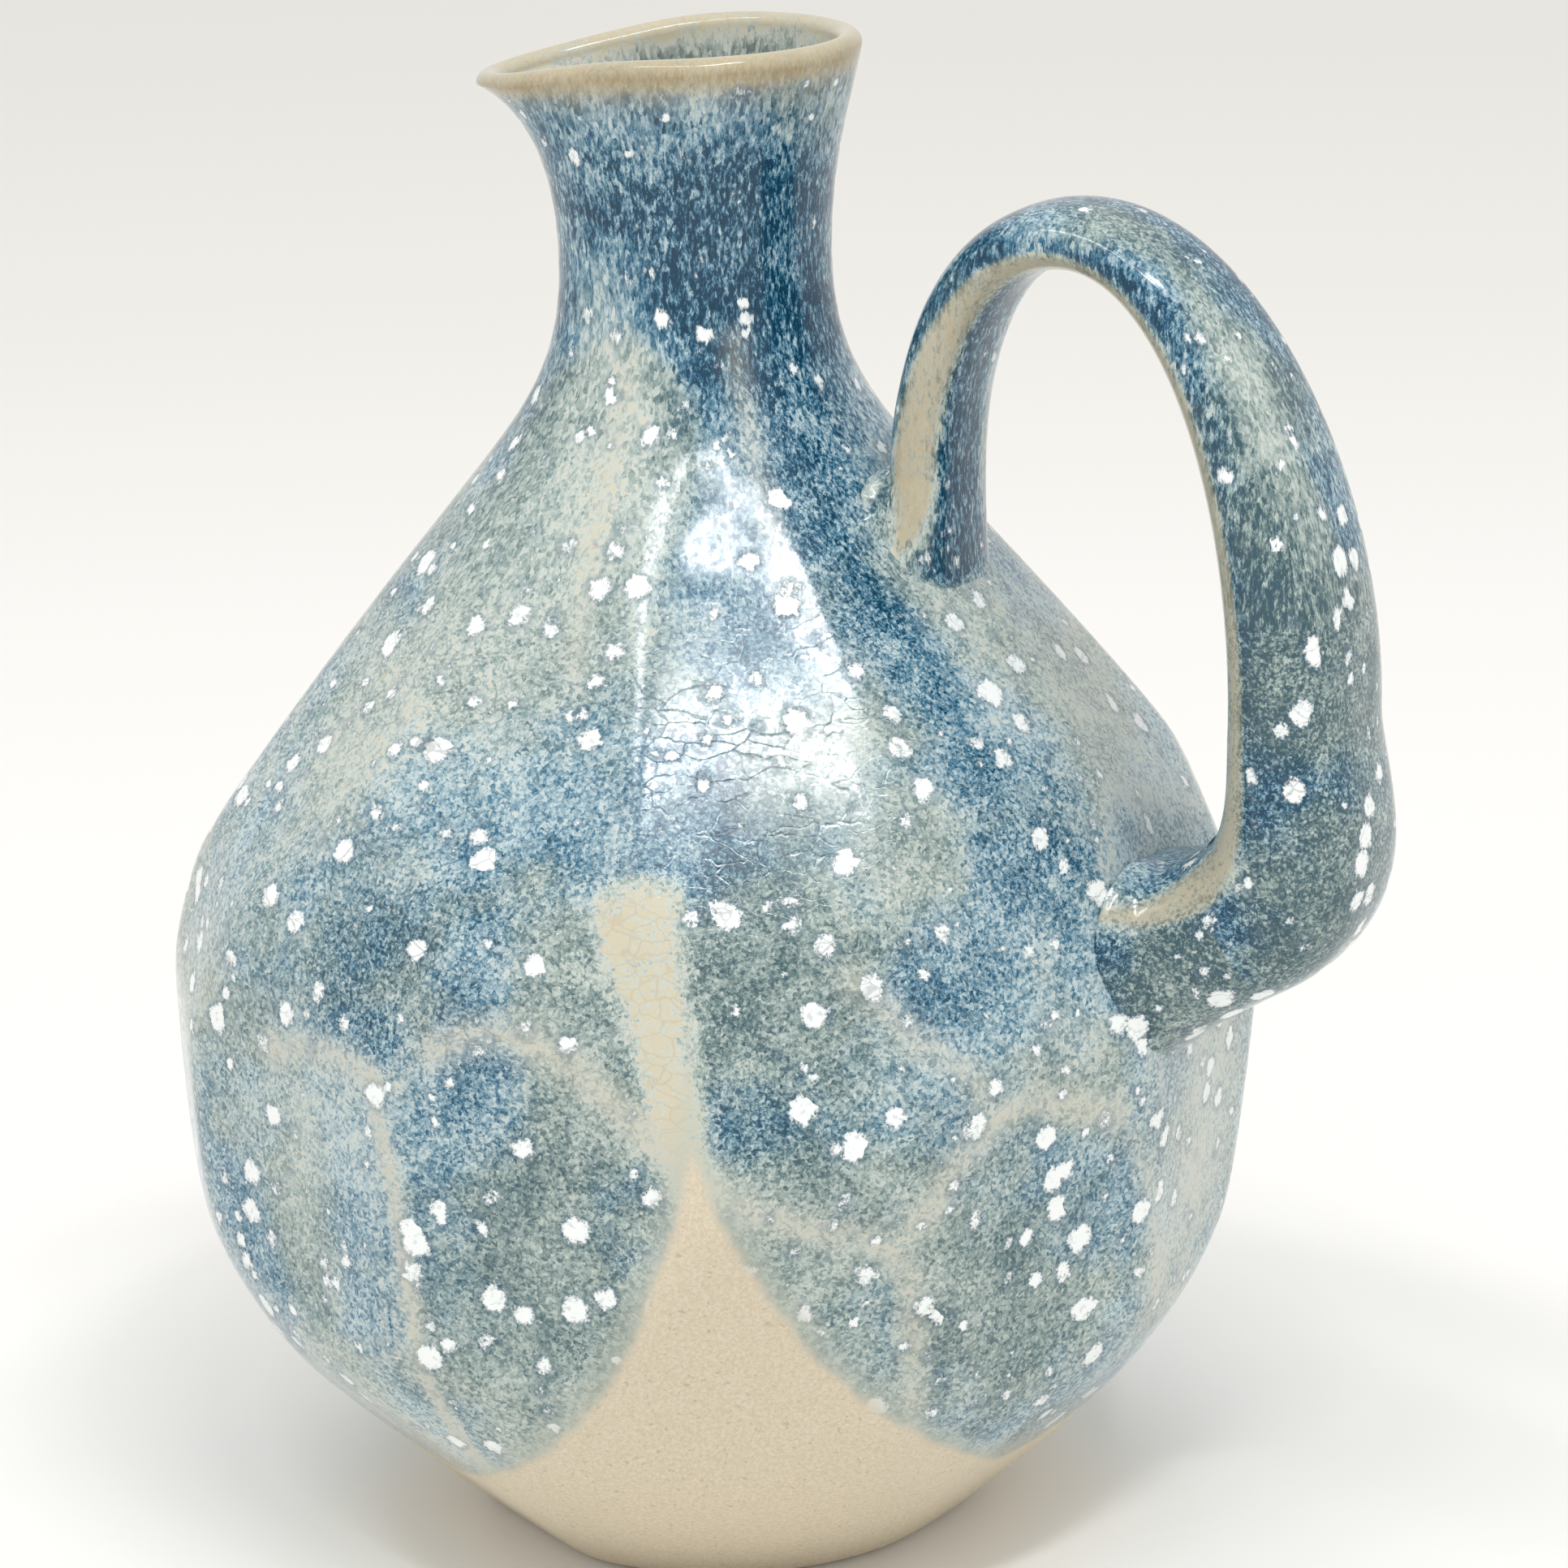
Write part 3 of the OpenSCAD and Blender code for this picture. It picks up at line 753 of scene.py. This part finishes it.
# Thumbed root: the strap's end section runs into the body, spreads there in a fillet and carries soft lumps
def rootSurface(root, share, angle):
    length = rootLengths(root, angle)
    left = length * (1 - share)
    spread = root["spread"] * np.exp(-left / root["fillet"]) * share
    points = rootSection(root, angle, length * share, spread + handleBells(root["lumps"], share, angle))
    turn = placeOf(points)[0]
    sink = (overBody(points) + rootForm["sink"]) * share ** rootForm["sinkPower"]
    points[..., 0] -= np.cos(turn) * sink
    points[..., 1] -= np.sin(turn) * sink
    return points


def rootPiece(root):
    rows = np.linspace(0, 1, rootForm["rings"])
    points, share, angle = gridOf(lambda *at: rootSurface(root, *at), rows, rootForm["sides"])
    if root["station"] == 0:  # it runs against the path, so its columns are turned
        points, share, angle = points[:, ::-1], share[:, ::-1], angle[:, ::-1]
    piece = ringMesh(root["name"], points, [0, len(rows) - 1], poles=True)
    thin, depth, sage = strapFields(np.full_like(share, root["station"]), angle)
    depth = strapGlaze["depth"] + (depth - strapGlaze["depth"]) * (1 - share)
    depth += handleBells(root["pools"], share, angle)
    sage = sage * (1 - share) + handleBells(root["sages"], share, angle)
    blend = root["blend"] * np.clip((share - rootForm["blendFrom"]) / (1 - rootForm["blendFrom"]), 0, 1)
    depth += (bodyDepth(*placeOf(points)) - depth) * blend
    sage += (bellSum(sagePatches, *placeOf(points)) - sage) * blend
    glazeHandle(piece, thin + root["taper"] * share ** rootForm["taperPower"], depth, sage)
    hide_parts(root["node"])
    return piece


# Glaze and clay

glazeLook = {
    "blues": [[0.0, "#cbc4ad"], [0.12, "#cacdc3"], [0.26, "#c2d0d1"], [0.45, "#a1b8c1"], [0.58, "#809dab"],
              [0.7, "#5b8296"], [0.82, "#346a85"], [0.92, "#174f6e"], [1.0, "#083850"]],
    "sages": [[0.0, "#cbc4ad"], [0.18, "#c6cdc6"], [0.4, "#abb7b1"], [0.6, "#8b9b96"], [0.8, "#637877"],
              [1.0, "#3a5761"]],
    "ridge": "#c5c2b3", "toast": "#9c8a66", "craze": "#465a5e", "thinEdge": "#b9bdb0",
    # The dark teal rim colour of the spots is partly a halo in the glaze and partly painted shadow beside
    # their raised edge
    "spot": "#f1f5f4", "spotGrey": "#b4c2c6", "spotHaloAndShadow": "#3a6178",
    "clayDark": "#cabda4", "clayLight": "#ddd2bd", "claySpeck": "#a39379",
    "runFrom": 120,  # height above which the glaze has run down
    "run": -0.64,  # and how far what lies there is drawn out
    "poolLimits": [-0.55, 0.72],
    "bump": 0.9,
    "ior": 1.47,
}
# Noises: size in millimetres, detail, roughness, twist
glazeNoises = {
    "clouds": [30, 2, 0.5, 0], "greens": [20, 3, 0.6, 0], "patches": [7, 6, 0.66, 0],
    "grain": [0.45, 3, 0.8, 0.3], "specks": [0.8, 1, 0.5, 0],
}
# Cells: size, then size and reach of their ragged edge in millimetres, squeeze upwards
glazeCells = {
    "flakes": [0.46, 0.8, 1.0, 1], "spots": [4.8, 1.6, 1.6, 1], "smallSpots": [3.4, 1.2, 1.2, 1],
    "craze": [5.0, 4, 3.0, 2.2], "cracks": [2.8, 2, 1.4, 1.7],
}
# Sums: an even amount, and how much of each value is added to it
glazeSums = {
    "wiped": {"stripDistance": 1, "patches": 2.4},
    "poolShare": {"even": 0.3, "patches": 1.4},
    "depth": {"even": -0.31, "pool": 0.42, "clouds": 0.5, "patches": 0.85, "speckle": 1, "flakes": 0.42,
              "pale": -0.25, "thin": -0.65},
    "grainShare": {"even": 1.2, "deepPool": 2.0},
    "green": {"greens": 1, "sage": 0.3, "pool": -0.22},
    "ridgeShare": {"even": 0.85, "flakes": -0.4},
    "toastShare": {"even": -0.3, "patches": 0.7, "grain": 1.1},
    "spotChance": {"chance": 1, "clouds": 1.2},
    "largestSpot": {"even": 0.38, "neck": -0.13},
    "pastSpot": {"past": 1, "grain": 0.4, "thin": 0.6},
    "edge": {"glazeHeight": 1, "patches": 2},
    "rough": {"even": 0.08, "flakes": 0.08, "bare": 0.42},
    "relief": {"grain": 0.005, "flakes": 0.003, "spot": 0.07, "rim": -0.006, "cracks": -0.008},
    "clayRelief": {"even": -0.15, "grain": 0.06},
}
# Limits of smooth steps, from zero to one
glazeSteps = {
    "thin": [4.6, 0], "green": [0.42, 0.66], "greenThin": [0.02, 0.4], "neck": [128, 142],
    "spotSize": [0.45, 1.65], "smallSize": [0.45, 1.1], "spot": [0.22, 0.12], "rim": [0.34, 0.2],
    "rimSize": [0.04, 0.12], "crust": [0.75, 1.2], "craze": [0.04, 0], "broken": [0.38, 0.52],
    "crazeLow": [66, 82], "crazeHigh": [128, 108], "cracks": [0.08, 0], "stripFrom": [60, 72],
    "bare": [1.9, 0.1], "thinEdge": [5, 1.4], "clayGrain": [0.3, 0.7], "specks": [0.66, 0.74],
}
# How strongly each thing shows at most
glazeShares = {
    "green": 0.9, "smallSpot": 0.26, "rim": 0.4, "craze": 0.4, "cracks": 0.2, "specks": 0.4, "thinEdge": 0.6,
}


# Screen colour in linear light
def linearColour(text):
    values = [int(text[i:i + 2], 16) / 255 for i in (1, 3, 5)]
    return [v / 12.92 if v <= 0.04045 else ((v + 0.055) / 1.055) ** 2.4 for v in values] + [1]


# Adds a node beside those that it is linked to. Other sockets and settings are set by value.
def addNode(kind, inputs, **settings):
    tree = next(v.id_data for v in inputs.values() if isinstance(v, bpy.types.NodeSocket))
    made = tree.nodes.new("ShaderNode" + kind)
    for name, value in settings.items():
        setattr(made, name, value)
    for name, value in inputs.items():
        if isinstance(value, bpy.types.NodeSocket):
            tree.links.new(value, made.inputs[name])
        else:
            made.inputs[name].default_value = value
    return made


def compute(operation, *values):
    return addNode("Math", dict(enumerate(values)), operation=operation).outputs[0]


def times(first, *others):
    for other in others:
        first = compute("MULTIPLY", first, other)
    return first


# Even amount of a sum, plus each of its values times its own amount
def sumOf(coat, name):
    amounts = dict(glazeSums[name])
    result = amounts.pop("even", 0)
    for value, amount in amounts.items():
        result = compute("MULTIPLY_ADD", coat[value], amount, result)
    return result


# Smooth step of a value from one limit to another, giving zero to one
def fade(value, start, end):
    limits = {"Value": value, "From Min": start, "From Max": end}
    return addNode("MapRange", limits, interpolation_type="SMOOTHSTEP").outputs["Result"]


def step(value, name):
    return fade(value, *glazeSteps[name])


def mixColour(share, first, second):
    inputs = {0: share, 6: first, 7: second}
    return addNode("Mix", inputs, data_type="RGBA", clamp_factor=True).outputs[2]


def layOver(colour, share, name):
    return mixColour(share, colour, linearColour(glazeLook[name]))


def noise(place, name):
    size, detail, rough, twist = glazeNoises[name]
    inputs = {"Vector": place, "Scale": 1 / (size * mm), "Detail": detail, "Roughness": rough}
    return addNode("TexNoise", dict(inputs, Distortion=twist)).outputs["Fac"]


# Cells with ragged edges: their place is moved by a small noise, and squeezed upwards
def cells(place, name, feature="F1"):
    size, fine, reach, squeeze = glazeCells[name]
    cloud = addNode("TexNoise", {"Vector": place, "Scale": 1 / (fine * mm), "Detail": 2}).outputs["Color"]
    centred = addNode("VectorMath", {0: cloud, 1: (0.5, 0.5, 0.5)}, operation="SUBTRACT").outputs[0]
    moves = {0: centred, 1: (reach * mm,) * 3, 2: place}
    moved = addNode("VectorMath", moves, operation="MULTIPLY_ADD").outputs[0]
    low = addNode("Mapping", {"Vector": moved, "Scale": (1, 1, squeeze)}).outputs[0]
    return addNode("TexVoronoi", {"Vector": low, "Scale": 1 / (size * mm)}, feature=feature).outputs


# Lines between cells
def cracksOf(place, name):
    return step(cells(place, name, "DISTANCE_TO_EDGE")["Distance"], name)


# A random number for each cell
def chanceOf(made, channel):
    return addNode("SeparateColor", {0: made["Color"]}).outputs[channel]


def ramp(value, stops):
    made = addNode("ValToRGB", {"Fac": value})
    while len(made.color_ramp.elements) < len(stops):
        made.color_ramp.elements.new(1)
    for element, (position, colour) in zip(made.color_ramp.elements, stops):
        element.position = position
        element.color = linearColour(colour)
    return made.outputs["Color"]


def newMaterial(name):
    material = bpy.data.materials.new(name)
    material.use_nodes = True
    tree = material.node_tree
    place = tree.nodes.new("ShaderNodeTexCoord").outputs["Object"]
    return material, tree, tree.nodes["Principled BSDF"], place


# Values that the layers of glaze share. It has run down the neck, so what lies there is drawn out upwards.
def coatValues(tree, place):
    x, y, z = addNode("SeparateXYZ", {0: place}).outputs
    coat = {"place": place, "height": compute("DIVIDE", z, mm)}
    above = compute("MAXIMUM", compute("SUBTRACT", z, glazeLook["runFrom"] * mm), 0)
    z = compute("MULTIPLY_ADD", above, glazeLook["run"], z)
    flow = addNode("CombineXYZ", {0: x, 1: y, 2: z}).outputs[0]
    for name in evenGlaze:
        attribute = tree.nodes.new("ShaderNodeAttribute")
        attribute.attribute_name = name
        coat[name] = attribute.outputs["Fac"]
    for name in glazeNoises:
        coat[name] = noise(flow if name == "grain" else place, name)
    coat["flakes"] = chanceOf(cells(flow, "flakes"), 0)
    coat["thin"] = step(sumOf(coat, "wiped"), "thin")
    pool = times(coat["pool"], sumOf(coat, "poolShare"))
    least, most = glazeLook["poolLimits"]
    coat["pool"] = compute("MAXIMUM", compute("MINIMUM", pool, most), least)
    return coat


# Colour: a mix of two ramps over the depth of glaze, with pale ridges and toasted edges laid over it
def coatColour(coat):
    coat["deepPool"] = compute("MAXIMUM", coat["pool"], 0)
    coat["speckle"] = times(compute("SUBTRACT", coat["grain"], 0.5), sumOf(coat, "grainShare"))
    depth = sumOf(coat, "depth")
    green = compute("MAXIMUM", step(sumOf(coat, "green"), "green"), step(coat["thin"], "greenThin"))
    green = times(green, glazeShares["green"])
    colour = mixColour(green, ramp(depth, glazeLook["blues"]), ramp(depth, glazeLook["sages"]))
    colour = layOver(colour, times(coat["pale"], sumOf(coat, "ridgeShare")), "ridge")
    return layOver(colour, times(coat["toast"], sumOf(coat, "toastShare")), "toast")


# White spots of crystals in two sizes, crusted inside, with a dark ragged rim that is partly a halo in the
# glaze and partly painted shadow beside the raised spot
def whiteSpots(coat, colour):
    large, small = cells(coat["place"], "spots"), cells(coat["place"], "smallSpots")
    coat["chance"], coat["neck"] = chanceOf(large, 0), step(coat["height"], "neck")
    size = times(step(sumOf(coat, "spotChance"), "spotSize"), sumOf(coat, "largestSpot"))
    smallSize = times(step(chanceOf(small, 1), "smallSize"), glazeShares["smallSpot"])
    pastSmall = compute("SUBTRACT", small["Distance"], smallSize)
    coat["past"] = compute("MINIMUM", compute("SUBTRACT", large["Distance"], size), pastSmall)
    past = sumOf(coat, "pastSpot")
    coat["spot"] = step(past, "spot")
    coat["rim"] = times(step(past, "rim"), step(size, "rimSize"))
    crust = layOver(linearColour(glazeLook["spot"]), step(coat["flakes"], "crust"), "spotGrey")
    # Dark rim: partly the glaze's halo, partly painted shadow beside the raised spot
    colour = layOver(colour, times(coat["rim"], glazeShares["rim"]), "spotHaloAndShadow")
    return mixColour(coat["spot"], colour, crust)


# Fine craze lines, longer across than up and broken here and there, and cells of cracks in the wiped strip
def fineCracks(coat, colour):
    whole = times(step(coat["patches"], "broken"), compute("SUBTRACT", 1, coat["thin"]))
    belt = times(step(coat["height"], "crazeLow"), step(coat["height"], "crazeHigh"))
    craze = times(cracksOf(coat["place"], "craze"), whole, belt)
    above = compute("SUBTRACT", step(coat["height"], "stripFrom"), coat["toast"])
    cracks = times(cracksOf(coat["place"], "cracks"), coat["thin"], above)
    coat["cracks"] = compute("MAXIMUM", craze, cracks)
    colour = layOver(colour, times(craze, glazeShares["craze"]), "craze")
    return layOver(colour, times(cracks, glazeShares["cracks"]), "toast")


# Bare clay below the edge of the glaze, which is thin and pale there
def bareClay(coat, colour):
    edge = sumOf(coat, "edge")
    coat["bare"] = step(edge, "bare")
    clay = layOver(linearColour(glazeLook["clayDark"]), step(coat["grain"], "clayGrain"), "clayLight")
    clay = layOver(clay, times(step(coat["specks"], "specks"), glazeShares["specks"]), "claySpeck")
    colour = layOver(colour, times(step(edge, "thinEdge"), glazeShares["thinEdge"]), "thinEdge")
    return mixColour(coat["bare"], colour, clay)


def glazedStoneware():
    material, tree, shader, place = newMaterial("rutile_glazed_stoneware")
    coat = coatValues(tree, place)
    colour = coatColour(coat)
    for layer in (whiteSpots, fineCracks, bareClay):
        colour = layer(coat, colour)
    glazed = times(sumOf(coat, "relief"), compute("SUBTRACT", 1, coat["bare"]))
    height = compute("MULTIPLY_ADD", coat["bare"], sumOf(coat, "clayRelief"), glazed)
    bump = addNode("Bump", {"Height": height, "Strength": glazeLook["bump"], "Distance": mm})
    tree.links.new(colour, shader.inputs["Base Color"])
    tree.links.new(sumOf(coat, "rough"), shader.inputs["Roughness"])
    tree.links.new(bump.outputs[0], shader.inputs["Normal"])
    shader.inputs["IOR"].default_value = glazeLook["ior"]
    return material


# Stage, light and camera

stageLook = {
    "halfSize": 12.0,  # metres
    # The far floor colour is darker than the near one: painted falloff of light further back
    "near": (0.9, 0.893, 0.873, 1),
    "far": (0.87, 0.857, 0.828, 1),
    "paintedFalloffBand": [0.3, 0.75],  # metres behind the jug, along the line of sight
    "room": (1.0, 0.99, 0.97, 1),
    "roomLight": 0.84,
    "rough": 0.6,
    "shine": 0.2,
    "lampTarget": [0, 0, 0.09],  # middle of the jug
}
photoCamera = {
    "turn": 29.0,  # degrees round the jug from the -Y side
    "distance": 0.569,  # level, from the axis
    "height": 0.264,
    "pitch": 17.05,
    "yaw": 0.88,
    "roll": -1.5,
    "focal": 6100 / 1932,  # focal length by the width of the picture
    "sensor": 36.0,
    "clip": [0.01, 20],
}
# Lamps: turn from the -Y side and height in degrees, distance, two sizes in metres, watts
softLamps = {
    "left_panel": [-18, 63.2, 1.3, 0.9, 0.06, 3.4],
    "right_panel": [64, 61.5, 1.3, 0.32, 0.1, 3.4],
    "front_bar": [39, 57.5, 1.3, 0.26, 0.05, 1.8],
}


# Direction of length one at a turn from the -Y side and a rise
def directionOf(turn, rise):
    turn, rise = math.radians(turn), math.radians(rise)
    return np.array([math.sin(turn) * math.cos(rise), -math.cos(turn) * math.cos(rise), math.sin(rise)])


# Stands an object at a place with its back to a direction, its side level and then rolled
def aim(thing, place, back, roll=0):
    side = np.cross([0, 0, 1], back)
    side = side / np.linalg.norm(side)
    up = np.cross(back, side)
    c, s = math.cos(math.radians(roll)), math.sin(math.radians(roll))
    axes = np.stack([side * c + up * s, up * c - side * s, back, place], axis=-1)
    thing.matrix_world = Matrix(np.vstack([axes, [0, 0, 0, 1]]).tolist())


def makeFloor():
    side = stageLook["halfSize"]
    mesh = bpy.data.meshes.new("floor")
    corners = [(-side, -side, 0), (side, -side, 0), (side, side, 0), (-side, side, 0)]
    mesh.from_pydata(corners, [], [(0, 1, 2, 3)])
    floor = newObject("floor", mesh)
    material, tree, shader, place = newMaterial("pale_floor")
    # Painted falloff: the floor turns from the near colour to the darker far one along the camera's line of
    # sight
    away = tuple(-directionOf(photoCamera["turn"], 0))
    along = addNode("VectorMath", {0: place, 1: away}, operation="DOT_PRODUCT").outputs["Value"]
    paintedFalloffShare = fade(along, *stageLook["paintedFalloffBand"])
    colour = mixColour(paintedFalloffShare, stageLook["near"], stageLook["far"])
    tree.links.new(colour, shader.inputs["Base Color"])
    shader.inputs["Roughness"].default_value = stageLook["rough"]
    shader.inputs["Specular IOR Level"].default_value = stageLook["shine"]
    mesh.materials.append(material)


def makeWorld():
    world = bpy.data.worlds.new("soft_room")
    world.use_nodes = True
    back = world.node_tree.nodes["Background"]
    back.inputs["Color"].default_value = stageLook["room"]
    back.inputs["Strength"].default_value = stageLook["roomLight"]
    bpy.context.scene.world = world


def makeLamps():
    for name, (turn, rise, distance, width, length, watts) in softLamps.items():
        lamp = bpy.data.lights.new(name, "AREA")
        lamp.shape = "RECTANGLE"
        lamp.size, lamp.size_y, lamp.energy = width, length, watts
        back = directionOf(turn, rise)
        aim(newObject(name, lamp), np.array(stageLook["lampTarget"]) + back * distance, back)


# The camera looks past the jug's axis by the yaw, and down by the pitch
def makeCamera():
    camera = bpy.data.cameras.new("photo_camera")
    camera.sensor_width = photoCamera["sensor"]
    camera.lens = photoCamera["focal"] * photoCamera["sensor"]
    camera.clip_start, camera.clip_end = photoCamera["clip"]
    cameraObject = newObject("photo_camera", camera)
    place = directionOf(photoCamera["turn"], 0) * photoCamera["distance"]
    place[2] = photoCamera["height"]
    back = directionOf(photoCamera["turn"] - photoCamera["yaw"], photoCamera["pitch"])
    aim(cameraObject, place, back, photoCamera["roll"])
    bpy.context.scene.camera = cameraObject


# Put together

pieces = [
    footPiece(),
    wallPiece("faceted_bowl_cut", "faceted_bowl", floorTop, bowlTop),
    wallPiece("shoulder_dome_cut", "shoulder_dome", bowlTop, domeTop),
    wallPiece("neck_collar_thrown", "neck_collar", domeTop, waistTop),
    lipPiece(),
    strapPiece(),
    rootPiece(upperRoot),
    rootPiece(lowerRoot),
]
glaze = glazedStoneware()
for piece in pieces:
    piece.data.materials.append(glaze)
    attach(piece, "root")
print("glaze set on", len(pieces), "pieces")

makeFloor()
makeWorld()
makeLamps()
makeCamera()
bpy.context.scene.view_settings.view_transform = "Standard"
